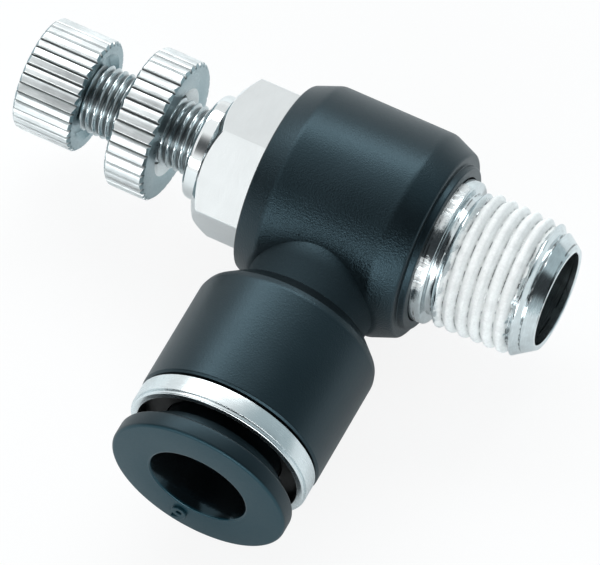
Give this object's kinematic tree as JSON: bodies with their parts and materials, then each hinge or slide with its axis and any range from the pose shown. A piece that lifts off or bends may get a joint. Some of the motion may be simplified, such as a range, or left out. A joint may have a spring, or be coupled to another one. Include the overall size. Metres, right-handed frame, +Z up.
{
  "type": "flow control valve",
  "caption": "Push-in elbow flow control valve with a knurled needle knob and lock nut, a hexagon bushing, a swivelling plastic elbow and a taper male thread.",
  "frame": {"origin": "centre of the end face of the male thread", "axes": "+X along the valve axis and out of the thread, -Y along the tube port away from the valve axis, +Z up as the part lies on its side"},
  "size_m": [0.0385, 0.0305, 0.0146],
  "materials": {
    "threaded_stem_nickel": "nickel-plated brass, white sealant on the thread",
    "hex_bushing_nickel": "nickel-plated brass, bright",
    "check_lip_seal_rubber": "moulded nitrile",
    "upper_stem_o_ring_rubber": "moulded nitrile",
    "lower_stem_o_ring_rubber": "moulded nitrile",
    "needle_nickel": "nickel-plated brass, bright",
    "knob_nickel": "nickel-plated brass, straight knurl",
    "needle_o_ring_rubber": "moulded nitrile",
    "lock_nut_nickel": "nickel-plated brass, straight knurl",
    "elbow_body_black": "moulded, satin with a fine grain",
    "tube_seal_rubber": "moulded nitrile",
    "spacer_ring_white": "moulded",
    "grip_ring_steel": "spring steel, slotted",
    "guide_ring_nickel": "nickel-plated brass, satin",
    "release_ring_black": "moulded, fine matt"
  },
  "bodies": {
    "stem": {"threaded_stem": "threaded_stem_nickel", "hex_bushing": "hex_bushing_nickel", "check_lip_seal": "check_lip_seal_rubber", "upper_stem_o_ring": "upper_stem_o_ring_rubber", "lower_stem_o_ring": "lower_stem_o_ring_rubber"},
    "elbow": {"elbow_body": "elbow_body_black", "tube_seal": "tube_seal_rubber", "spacer_ring": "spacer_ring_white", "grip_ring": "grip_ring_steel", "guide_ring": "guide_ring_nickel"},
    "release": {"release_ring": "release_ring_black"},
    "needle_slider": {"needle_o_ring": "needle_o_ring_rubber"},
    "needle": {"needle": "needle_nickel", "knob": "knob_nickel"},
    "lock_nut": {"lock_nut": "lock_nut_nickel"}
  },
  "joints": [
    {"name": "elbow_swivel", "type": "hinge", "parent": "stem", "child": "elbow", "pos_m": [-0.0145, 0, 0], "axis": [1, 0, 0], "continuous": true},
    {"name": "release_press", "type": "slide", "parent": "elbow", "child": "release", "axis": [0, 1, 0], "range_m": [0, 0.0011], "stiffness_N_per_m": 60, "springref_m": -0.0008},
    {"name": "needle_feed", "type": "slide", "parent": "stem", "child": "needle_slider", "axis": [1, 0, 0], "range_m": [-0.0015, 0.0025]},
    {"name": "needle_turn", "type": "hinge", "parent": "needle_slider", "child": "needle", "pos_m": [-0.0145, 0, 0], "axis": [1, 0, 0], "range_deg": [-1080, 1800]},
    {"name": "lock_nut_run", "type": "slide", "parent": "stem", "child": "lock_nut", "axis": [1, 0, 0], "range_m": [0, 0.0019]}
  ],
  "couplings": [
    {"joint": "needle_turn", "follows": "needle_feed", "rad_per_m": 12566}
  ]
}
